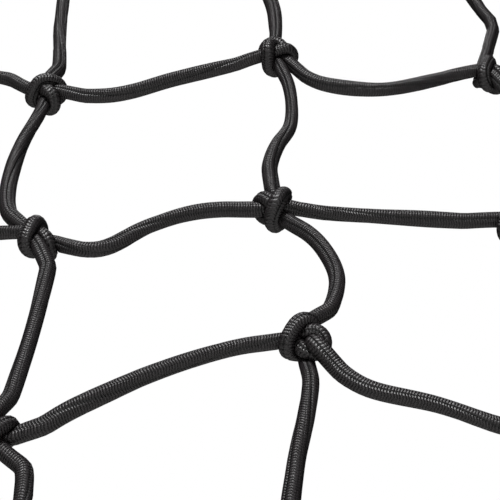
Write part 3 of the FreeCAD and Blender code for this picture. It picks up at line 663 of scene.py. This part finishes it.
def weave_net():
    """The 32 cords of the net, each a piece of its own."""
    knots = place_knots()
    spans = all_spans(knots)
    strands = tie_all_knots(knots, spans)
    routes = [(axis, lane) for axis in (0, 1) for lane in range(COUNT)]
    cords = [cord_rings(follow_cord(spans, strands, axis, lane)) for axis, lane in routes]
    press_together(cords)
    pieces = [cord_mesh(f"net_cord_{k + 1:02d}", cord) for k, cord in enumerate(cords)]
    for piece in pieces:
        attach(piece, "net_frame")
        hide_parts("net_row_cords", "net_column_cords", "net_knots",
                    "side_tie_loops", "top_bottom_tie_loops")
    return pieces


# ---------------------------------------------------------------- moulded knobs, feet and weld beads

# Rings of a knob from its hub face to the middle of its top: shares of its radius and of its height,
# and how much of the scallops each has.
KNOB_PROFILE = [
    (0.34, 0.00, 0), (0.52, 0.00, 0), (0.555, 0.03, 0), (0.585, 0.25, 0), (0.64, 0.30, 0.1),
    (0.88, 0.35, 0.9), (0.95, 0.38, 1), (0.985, 0.43, 1), (0.995, 0.50, 1), (0.995, 0.80, 1),
    (0.975, 0.88, 1), (0.93, 0.94, 1), (0.86, 0.975, 1), (0.78, 0.985, 0.9), (0.70, 0.97, 0.6),
    (0.60, 0.925, 0.2), (0.50, 0.905, 0), (0.43, 0.90, 0), (0.42, 0.905, 0), (0.405, 0.945, 0),
    (0.385, 0.96, 0), (0.33, 0.965, 0), (0.15, 0.965, 0),
]
KNOB_SIDES = 120
SCALLOP = 0.20
SCALLOP_SHARPNESS = 1.7

# A foot is a block round the ground bar. It has sloping shoulders, grooves across it and a lip at each
# end. Along it, a station is a place and how far the surface is cut in there.
FOOT_SIDES = 96
FOOT_LENGTH = 0.070
FOOT_BORE = 0.0163
FOOT_ROOF = 0.0037
SHOULDER_TOP = 0.009
SHOULDER_FOOT = 0.015
FOOT_ROUNDING = 26
FOOT_LIP = [(0.0, 0.0022), (0.0006, 0.0009), (0.0016, 0.0002), (0.0030, 0), (0.0062, 0), (0.0068, 0.0008)]
LIP_LENGTH = 0.006
FOOT_GROOVES = 7
FIRST_GROOVE = 0.0115
GROOVE = [(-0.0017, 0.0008), (-0.0011, 0.0018), (0.0011, 0.0018), (0.0017, 0.0008)]
# The sines of the angles round a foot where its grooves start, and over which they reach their depth.
GROOVES_FROM, GROOVES_OVER = -0.55, 0.3

TAB_LENGTH = 0.040
WELD_INSET = 0.0015
WELD_LENGTH = TAB_LENGTH - 2 * WELD_INSET
WELD_R = 0.0021
WELD_PROUD = 0.0004
# A weld's ripples: their number, their height, and how uneven it is, as shares of its radius.
WELD_RIPPLES, RIPPLE, UNEVENNESS = 13, 0.16, 0.08
WELD_RINGS = 75
WELD_SIDES = 12


def corners(node):
    """A node's lowest and highest corners at rest."""
    return (np.array(corner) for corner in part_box(node))


def ring_about(x, y, z, radii, turn, facing=1):
    """A ring of points about an axis along x, at some radii and angles. facing -1 mirrors it in y."""
    y, z = y + facing * radii * np.cos(turn), z + radii * np.sin(turn)
    return np.stack([np.full(len(turn), x), y, z], axis=1)


def skin(name, rings, node, body, closed=True):
    """A piece whose surface passes through rings of points, in place of a node if one is given. Its
    ends are closed by faces, or else its last ring is joined to its first."""
    points = np.vstack(rings)
    count, width = len(rings), len(rings[0])
    faces = []
    for k in range(count - 1 if closed else count):
        here, there = k * width, (k + 1) % count * width
        for j in range(width):
            after = (j + 1) % width
            faces.append([here + j, here + after, there + after, there + j])
    if closed:
        faces.append(list(range(width))[::-1])
        faces.append(list(range((count - 1) * width, count * width)))
    mesh = bpy.data.meshes.new(name)
    mesh.from_pydata(points.tolist(), [], faces)
    solid = bmesh.new()
    solid.from_mesh(mesh)
    bmesh.ops.recalc_face_normals(solid, faces=solid.faces)
    solid.to_mesh(mesh)
    solid.free()
    mesh.shade_smooth()
    piece = place_object(name, mesh)
    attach(piece, body)
    if node:
        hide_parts(node)
    return piece


def mould_knob(node, lobes):
    """A scalloped knob with a dished top and a raised plug over its insert."""
    low, high = corners(node)
    middle, size = (low + high) / 2, high - low
    outward = math.copysign(1, middle[0])
    face = (low if outward > 0 else high)[0]
    radius = max(size[1], size[2]) / 2
    turn = angles(KNOB_SIDES)
    dip = (0.5 + 0.5 * np.cos(lobes * turn)) ** SCALLOP_SHARPNESS
    rings = []
    for reach, height, share in KNOB_PROFILE:
        x = face + outward * height * size[0]
        radii = radius * reach * (1 - SCALLOP * share * dip)
        rings.append(ring_about(x, middle[1], middle[2], radii, turn, outward))
    return skin(f"{node}_moulding", rings, node, node)


def foot_outline(half_width, above, below, turn):
    """The radii of a foot's rounded section at some angles. above and below are its top's and its
    sole's distances from the bar's axis."""
    slope = math.atan2(half_width - SHOULDER_FOOT, above + below / 2)
    leaning = (half_width - SHOULDER_TOP) * math.cos(slope) + above * math.sin(slope)
    # Each of the section's sides: its outward direction, and its distance from the axis.
    sides = [
        (-math.pi / 2, below), (math.pi / 2, above), (0, half_width), (math.pi, half_width),
        (slope, leaning), (math.pi - slope, leaning),
    ]
    near = [np.clip(np.cos(turn - facing), 0, None) / away for facing, away in sides]
    return sum(side**FOOT_ROUNDING for side in near) ** (-1 / FOOT_ROUNDING)


def foot_stations():
    """Places along a foot, and how far its surface is cut in at each."""
    pitch = (FOOT_LENGTH - 2 * FIRST_GROOVE) / (FOOT_GROOVES - 1)
    grooves = [(FIRST_GROOVE + k * pitch + at, cut) for k in range(FOOT_GROOVES) for at, cut in GROOVE]
    return FOOT_LIP + grooves + [(FOOT_LENGTH - at, cut) for at, cut in FOOT_LIP[::-1]]


def mould_feet(group):
    """The two rubber blocks round a ground bar. The sole has no grooves."""
    low, high = corners(f"{group}_rubber_feet")
    y, z = (low[1] + high[1]) / 2, high[2] - FOOT_BORE - FOOT_ROOF
    turn = angles(FOOT_SIDES)
    outline = foot_outline((high[1] - low[1]) / 2, high[2] - z, z - low[2], turn)
    upper = np.clip((np.sin(turn) - GROOVES_FROM) / GROOVES_OVER, 0, 1)
    pieces = []
    for side, start in (("left", low[0]), ("right", high[0] - FOOT_LENGTH)):
        rings = []
        for at, cut in foot_stations():
            in_lip = min(at, FOOT_LENGTH - at) < LIP_LENGTH
            rings.append(ring_about(start + at, y, z, outline - cut * (1 if in_lip else upper), turn))
        rings += [ring_about(start + at, y, z, FOOT_BORE, turn) for at in (FOOT_LENGTH, 0.0)]
        name = f"{group}_{side}_foot_moulding"
        pieces.append(skin(name, rings, f"{group}_rubber_feet", f"{group}_stand", closed=False))
    return pieces


def weld_beads(group):
    """A rippled fillet of weld above and below each stake tab, along the ground bar."""
    feet_low, feet_high = corners(f"{group}_rubber_feet")
    low, high = corners(f"{group}_stake_tabs")
    bar_y, bar_z = (feet_low[1] + feet_high[1]) / 2, feet_high[2] - FOOT_BORE - FOOT_ROOF
    outward = 1 if abs(high[1] - bar_y) > abs(low[1] - bar_y) else -1
    turn = angles(WELD_SIDES)
    pieces = []
    for side, tab in (("left", low[0]), ("right", high[0] - TAB_LENGTH)):
        for level, proud, edge in (("above", WELD_PROUD, high[2]), ("below", -WELD_PROUD, low[2])):
            y = bar_y + outward * math.sqrt(TUBE_R**2 - (edge - bar_z) ** 2)
            rings = []
            for along in np.linspace(0, 1, WELD_RINGS):
                swell = 1 + RIPPLE * math.cos(along * 2 * math.pi * WELD_RIPPLES)
                swell += UNEVENNESS * rng.normal()
                taper = math.sqrt(max(1 - (2 * along - 1) ** 12, 0.04))
                x = tab + WELD_INSET + WELD_LENGTH * along
                rings.append(ring_about(x, y, edge + proud, WELD_R * swell * taper, turn))
            name = f"{group}_{side}_weld_{level}"
            pieces.append(skin(name, rings, None, f"{group}_stand"))
    return pieces


def mould_fittings():
    """The moulded pieces and welds, by their material slots."""
    knobs = [mould_knob(f"{side}_tilt_knob", 6) for side in ("left", "right")]
    knobs += [mould_knob(f"{side}_stand_lock_knob", 4) for side in ("left", "right")]
    feet = mould_feet("front") + mould_feet("rear")
    welds = weld_beads("front") + weld_beads("rear")
    return {"nylon": knobs, "rubber": feet, "powder_coat": welds}


# ---------------------------------------------------------------- materials


class Surface:
    """A material, with short ways to add the nodes of its tree. Most of them return a socket."""

    def __init__(self, name):
        self.material = bpy.data.materials.new(name)
        self.material.use_nodes = True
        self.tree = self.material.node_tree
        self.shader = self.tree.nodes["Principled BSDF"]

    def add(self, kind, **settings):
        node = self.tree.nodes.new("ShaderNode" + kind)
        for key, value in settings.items():
            setattr(node, key, value)
        return node

    def put(self, value, socket):
        if isinstance(value, bpy.types.NodeSocket):
            self.tree.links.new(value, socket)
        else:
            socket.default_value = value

    def set(self, **values):
        """Sockets of the shader, with _ for a space in their names."""
        for key, value in values.items():
            self.put(value, self.shader.inputs[key.replace("_", " ")])

    def math(self, operation, *values, clamp=False):
        node = self.add("Math", operation=operation, use_clamp=clamp)
        for value, socket in zip(values, node.inputs):
            self.put(value, socket)
        return node.outputs[0]

    def place(self, stretch=(1, 1, 1)):
        """The object's own coordinates, in metres, stretched."""
        node = self.add("Mapping")
        self.tree.links.new(self.add("TexCoord").outputs["Object"], node.inputs["Vector"])
        node.inputs["Scale"].default_value = stretch
        return node.outputs[0]

    def noise(self, scale, vector, detail=3.0, roughness=0.5):
        node = self.add("TexNoise")
        self.put(vector, node.inputs["Vector"])
        for key, value in (("Scale", scale), ("Detail", detail), ("Roughness", roughness)):
            node.inputs[key].default_value = value
        return node.outputs["Fac"]

    def cells(self, scale, vector, feature="F1"):
        node = self.add("TexVoronoi", feature=feature)
        self.put(vector, node.inputs["Vector"])
        node.inputs["Scale"].default_value = scale
        return node.outputs["Distance"]

    def span(self, value, low, high, to_low=0.0, to_high=1.0):
        node = self.add("MapRange")
        for key, number in zip(range(5), (value, low, high, to_low, to_high)):
            self.put(number, node.inputs[key])
        return node.outputs[0]

    def blend(self, share, first, second):
        node = self.add("Mix", data_type="RGBA")
        self.put(share, node.inputs["Factor"])
        for socket, colour in ((node.inputs[6], first), (node.inputs[7], second)):
            self.put(colour if isinstance(colour, bpy.types.NodeSocket) else (*colour, 1), socket)
        return node.outputs[2]

    def gloss(self, level):
        """A specular level that fades where the surface turns away, as it does on a coat of fibres."""
        node = self.add("LayerWeight")
        node.inputs["Blend"].default_value = 0.5
        return self.math("MULTIPLY", self.math("SUBTRACT", 1.0, node.outputs["Facing"]), level)

    def bump(self, height, strength, distance, normal=None):
        node = self.add("Bump")
        for key, value in (("Strength", strength), ("Distance", distance), ("Height", height)):
            self.put(value, node.inputs[key])
        if normal is not None:
            self.put(normal, node.inputs["Normal"])
        return node.outputs[0]


# The spacing of the ribs across the cord's cover, and the columns of stitches round it.
RIB = 0.0007
STITCH_COLUMNS = 10


def braided_cord():
    """Fine ribs across the cord, leaning one way and the other in the stitch columns, and grooves, with a
    painted highlight on the rib crests and painted shade in the troughs, creases and grooves.
    """
    s = Surface("braided elastic cord")
    cord = s.add("Attribute", attribute_name="cord").outputs["Vector"]
    parts = s.add("SeparateXYZ")
    s.put(cord, parts.inputs[0])
    angle = s.math("ARCTAN2", parts.outputs[1], parts.outputs[0])
    length = parts.outputs[2]
    column = s.math("MULTIPLY", angle, STITCH_COLUMNS / (2 * math.pi))
    lean = s.math("PINGPONG", column, 1.0)
    within = s.math("ABSOLUTE", s.math("SUBTRACT", s.math("FRACT", column), 0.5))
    rib_at = s.math("ADD", s.math("MULTIPLY", length, 1 / RIB), s.math("MULTIPLY", lean, 0.4))
    wobble = s.math("MULTIPLY", s.noise(420, s.place(), 2), 0.9)
    rib = s.math("ABSOLUTE", s.math("SINE", s.math("MULTIPLY", s.math("ADD", rib_at, wobble), math.pi)))
    crease = s.span(within, 0.32, 0.5)
    groove = 0.0
    for facing in angles(CLOSE_SIDES)[list(GROOVES)]:
        turned = s.math("WRAP", s.math("SUBTRACT", angle, facing), math.pi, -math.pi)
        groove = s.math("MAXIMUM", groove, s.span(s.math("ABSOLUTE", turned), 0.04, 0.22, 1, 0))
    fuzz = s.noise(6500, s.place(), 3, 0.7)
    wear = s.noise(55, s.place(), 5, 0.65)
    height = s.math("SUBTRACT", rib, s.math("MULTIPLY", crease, 0.4))
    height = s.math("ADD", height, s.math("MULTIPLY", fuzz, 0.22))
    height = s.math("SUBTRACT", height, groove)
    # Painted highlight and shade: the rib crests are painted lighter, and the troughs between ribs and the
    # creases between stitch columns darker.
    shade = s.math("SUBTRACT", 1.0, s.math("MULTIPLY", crease, 0.45))
    light = s.math("MULTIPLY", s.math("POWER", rib, 1.4), shade)
    colour = s.blend(light, (0.0005, 0.0005, 0.0005), (0.0205, 0.0176, 0.0188))
    colour = s.blend(s.span(wear, 0.42, 0.72, 0, 0.30), colour, (0.024, 0.021, 0.0225))
    # Painted shade: the grooves along the cord are painted darker.
    colour = s.blend(s.math("MULTIPLY", groove, 0.85), colour, (0.003, 0.003, 0.003))
    s.set(Base_Color=colour, Roughness=s.span(fuzz, 0.3, 0.7, 0.36, 0.48), Specular_IOR_Level=s.gloss(0.45))
    s.set(Normal=s.bump(height, 0.9, 0.00015))
    return s.material


def powder_coat():
    """Satin black, with orange peel, a few bright rubs and fine dust."""
    s = Surface("satin black powder coat")
    peel = s.noise(1300, s.place(), 2, 0.4)
    grit = s.cells(3800, s.place())
    rubs = s.noise(26, s.place((1, 1, 5)), 6, 0.72)
    dust = s.noise(9, s.place(), 5, 0.6)
    scratch = s.noise(220, s.place((0.08, 1, 1)), 2, 0.8)
    colour = s.blend(s.span(dust, 0.42, 0.78, 0, 0.4), (0.017, 0.017, 0.018), (0.040, 0.039, 0.037))
    colour = s.blend(s.span(rubs, 0.70, 0.76, 0, 0.55), colour, (0.075, 0.074, 0.072))
    rough = s.math("ADD", s.span(peel, 0.3, 0.7, 0.34, 0.46), s.span(scratch, 0.62, 0.8, 0, 0.16))
    s.set(Base_Color=colour, Roughness=rough, Specular_IOR_Level=0.5)
    s.set(Coat_Weight=0.15, Coat_Roughness=0.22)
    fine = s.bump(grit, 0.12, 0.00004)
    s.set(Normal=s.bump(peel, 0.30, 0.00022, fine))
    return s.material


def zinc_plate():
    """Bright zinc with a bluish cast, turning marks and dulled patches."""
    s = Surface("bright zinc plate")
    patches = s.noise(210, s.place(), 4, 0.6)
    grain = s.noise(2600, s.place((1, 1, 0.15)), 3, 0.6)
    spots = s.cells(900, s.place())
    colour = s.blend(s.span(patches, 0.35, 0.7), (0.60, 0.61, 0.64), (0.46, 0.45, 0.43))
    colour = s.blend(s.span(spots, 0.0, 0.25, 0.30, 0.0), colour, (0.30, 0.29, 0.27))
    rough = s.math("ADD", s.span(patches, 0.3, 0.7, 0.24, 0.42), s.span(grain, 0.3, 0.7, -0.05, 0.07))
    s.set(Base_Color=colour, Roughness=rough, Metallic=1.0)
    s.set(Normal=s.bump(grain, 0.25, 0.00003))
    return s.material


def spring_steel():
    """Oiled spring steel, with temper colours and a fine drawn grain."""
    s = Surface("oiled spring steel")
    tint = s.noise(120, s.place(), 4, 0.6)
    grain = s.noise(3200, s.place((0.1, 1, 1)), 2, 0.6)
    colour = s.blend(s.span(tint, 0.35, 0.65), (0.30, 0.31, 0.34), (0.19, 0.165, 0.14))
    s.set(Base_Color=colour, Roughness=s.span(grain, 0.3, 0.7, 0.30, 0.48), Metallic=1.0)
    s.set(Normal=s.bump(grain, 0.2, 0.00003))
    return s.material


def moulded_nylon():
    """Black glass-filled nylon: a fine spark-eroded grain with paler flow marks."""
    s = Surface("moulded black nylon")
    grain = s.cells(2300, s.place())
    flow = s.noise(60, s.place((1, 1, 0.35)), 4, 0.6)
    fine = s.noise(5200, s.place(), 3, 0.6)
    colour = s.blend(s.span(flow, 0.4, 0.75, 0, 0.7), (0.020, 0.020, 0.021), (0.040, 0.040, 0.041))
    s.set(Base_Color=colour, Roughness=s.span(fine, 0.3, 0.7, 0.50, 0.68), Specular_IOR_Level=0.45)
    s.set(Normal=s.bump(fine, 0.25, 0.00003, s.bump(grain, 0.45, 0.00007)))
    return s.material


def moulded_rubber():
    """Matt black rubber with a dusty bloom that is thicker low down."""
    s = Surface("moulded rubber")
    fine = s.noise(3000, s.place(), 4, 0.65)
    bloom = s.noise(75, s.place(), 5, 0.65)
    split = s.add("SeparateXYZ")
    s.put(s.place(), split.inputs[0])
    low = s.span(split.outputs[2], 0.0, 0.02, 0.75, 0.1)
    dusty = s.math("MULTIPLY", s.span(bloom, 0.38, 0.68), low)
    colour = s.blend(dusty, (0.022, 0.022, 0.022), (0.115, 0.108, 0.098))
    s.set(Base_Color=colour, Roughness=s.span(fine, 0.3, 0.7, 0.74, 0.92), Specular_IOR_Level=0.3)
    s.set(Normal=s.bump(fine, 0.5, 0.00006))
    return s.material


# The widths of the rounded edges of moulded and cut pieces, by words in their nodes' names.
EDGES = {
    "leg_caps": 0.0008, "_saddles": 0.0006, "quadrant_plate": 0.0004, "stake_tabs": 0.0005,
    "_washer": 0.0003, "_nuts": 0.0004, "_bolts": 0.0003, "_button": 0.0005, "crimps": 0.0002,
}


def round_edges(name, obj):
    """Rounds a piece's sharp edges over with modifiers, leaving its mesh as it is."""
    width = next((width for words, width in EDGES.items() if words in name), 0)
    if not width:
        return
    weld = obj.modifiers.new("weld", "WELD")
    weld.merge_threshold = 0.00001
    bevel = obj.modifiers.new("edges", "BEVEL")
    bevel.width, bevel.segments = width, 2
    bevel.limit_method, bevel.angle_limit = "ANGLE", math.radians(38)
    bevel.harden_normals = True


def finish_surfaces(cords, fittings):
    """Gives every CAD node and every new piece the material of its slot."""
    looks = {
        "powder_coat": powder_coat(), "zinc_steel": zinc_plate(), "spring_steel": spring_steel(),
        "elastic_cord": braided_cord(), "nylon": moulded_nylon(), "rubber": moulded_rubber(),
    }
    slots = {part["node"]: part["material_slot"] for part in frame["record"]["subparts"]}
    for node, obj in frame["nodes"].items():
        round_edges(node, obj)
        for slot in obj.material_slots:
            slot.material = looks[slots[node]]
    for piece in cords:
        piece.data.materials.append(looks["elastic_cord"])
    for slot, made in fittings.items():
        for piece in made:
            piece.data.materials.append(looks[slot])


# ---------------------------------------------------------------- studio


# The camera's place from the net's pivot, and its heading, look up and roll in degrees.
CAMERA_PLACE = np.array([0.0135, -0.3065, -0.1155])
CAMERA_TURNS = (-1.9, 22.8, -2.6)
CAMERA_LENS = 95.5
# How strongly the white backdrop lights the object, as a share of how bright it looks.
BACKDROP_LIGHT = 0.045


def aim_camera():
    """A close view of the middle of the net, from just below it on the player's side."""
    data = bpy.data.cameras.new("camera")
    data.sensor_width, data.lens = 36, CAMERA_LENS
    data.clip_start = 0.01
    camera = place_object("camera", data)
    heading, look_up, roll = (math.radians(angle) for angle in CAMERA_TURNS)
    turn = Matrix.Rotation(heading, 4, "Z") @ Matrix.Rotation(math.pi / 2 + look_up, 4, "X")
    turn = turn @ Matrix.Rotation(roll, 4, "Z")
    camera.matrix_world = Matrix.Translation(PIVOT + CAMERA_PLACE) @ turn
    bpy.context.scene.camera = camera


def soft_light(name, place, target, size, watts):
    """A round area light that faces a target."""
    data = bpy.data.lights.new(name, "AREA")
    data.shape, data.size, data.energy = "DISK", size, watts
    towards = Vector(target) - Vector(place)
    turn = towards.to_track_quat("-Z", "Y").to_matrix().to_4x4()
    place_object(name, data).matrix_world = Matrix.Translation(place) @ turn


def light_studio():
    """Three soft lights, and a white backdrop that lights the object only faintly."""
    world = bpy.data.worlds.new("studio")
    bpy.context.scene.world = world
    world.use_nodes = True
    tree = world.node_tree
    background = tree.nodes["Background"]
    background.inputs["Color"].default_value = (1, 1, 1, 1)
    seen = tree.nodes.new("ShaderNodeLightPath").outputs["Is Camera Ray"]
    strength = tree.nodes.new("ShaderNodeMapRange")
    tree.links.new(seen, strength.inputs["Value"])
    strength.inputs["To Min"].default_value = BACKDROP_LIGHT
    strength.inputs["To Max"].default_value = 1.0
    tree.links.new(strength.outputs[0], background.inputs["Strength"])
    soft_light("key", (-0.7, -2.0, 5.0), (0, 0, 0.7), 1.6, 400)
    soft_light("front", (0.5, -4.0, 0.9), (0, 0, 0.7), 1.5, 30)
    soft_light("back", (0.3, 3.2, 5.2), (0, 0, 0.6), 2.5, 55)
    bpy.context.scene.view_settings.view_transform = "Standard"


def lay_floor():
    """A pale sealed floor, larger than any view, with a faint unevenness. It fades into the white
    backdrop far off."""
    reach = 30
    mesh = bpy.data.meshes.new("floor")
    square = [(-reach, -reach, 0), (reach, -reach, 0), (reach, reach, 0), (-reach, reach, 0)]
    mesh.from_pydata(square, [], [[0, 1, 2, 3]])
    s = Surface("pale floor")
    cloud = s.noise(1.5, s.place(), 4, 0.5)
    length = s.add("VectorMath", operation="LENGTH")
    s.put(s.place(), length.inputs[0])
    far = s.span(length.outputs["Value"], 0.8, 6.0)
    near_colour = s.blend(s.span(cloud, 0.3, 0.7), (0.62, 0.615, 0.605), (0.66, 0.655, 0.645))
    s.set(Base_Color=s.blend(far, near_colour, (0.01, 0.01, 0.01)))
    s.set(Roughness=s.span(cloud, 0.3, 0.7, 0.55, 0.7), Specular_IOR_Level=0.2)
    seen = s.span(s.add("LightPath").outputs["Is Camera Ray"], 0.0, 1.0, 0.1, 1.0)
    s.set(Emission_Color=(1, 1, 1, 1), Emission_Strength=s.math("MULTIPLY", far, seen))
    mesh.materials.append(s.material)
    floor = place_object("floor", mesh)


aim_camera()
light_studio()
lay_floor()
net_cords = weave_net()
finish_surfaces(net_cords, mould_fittings())
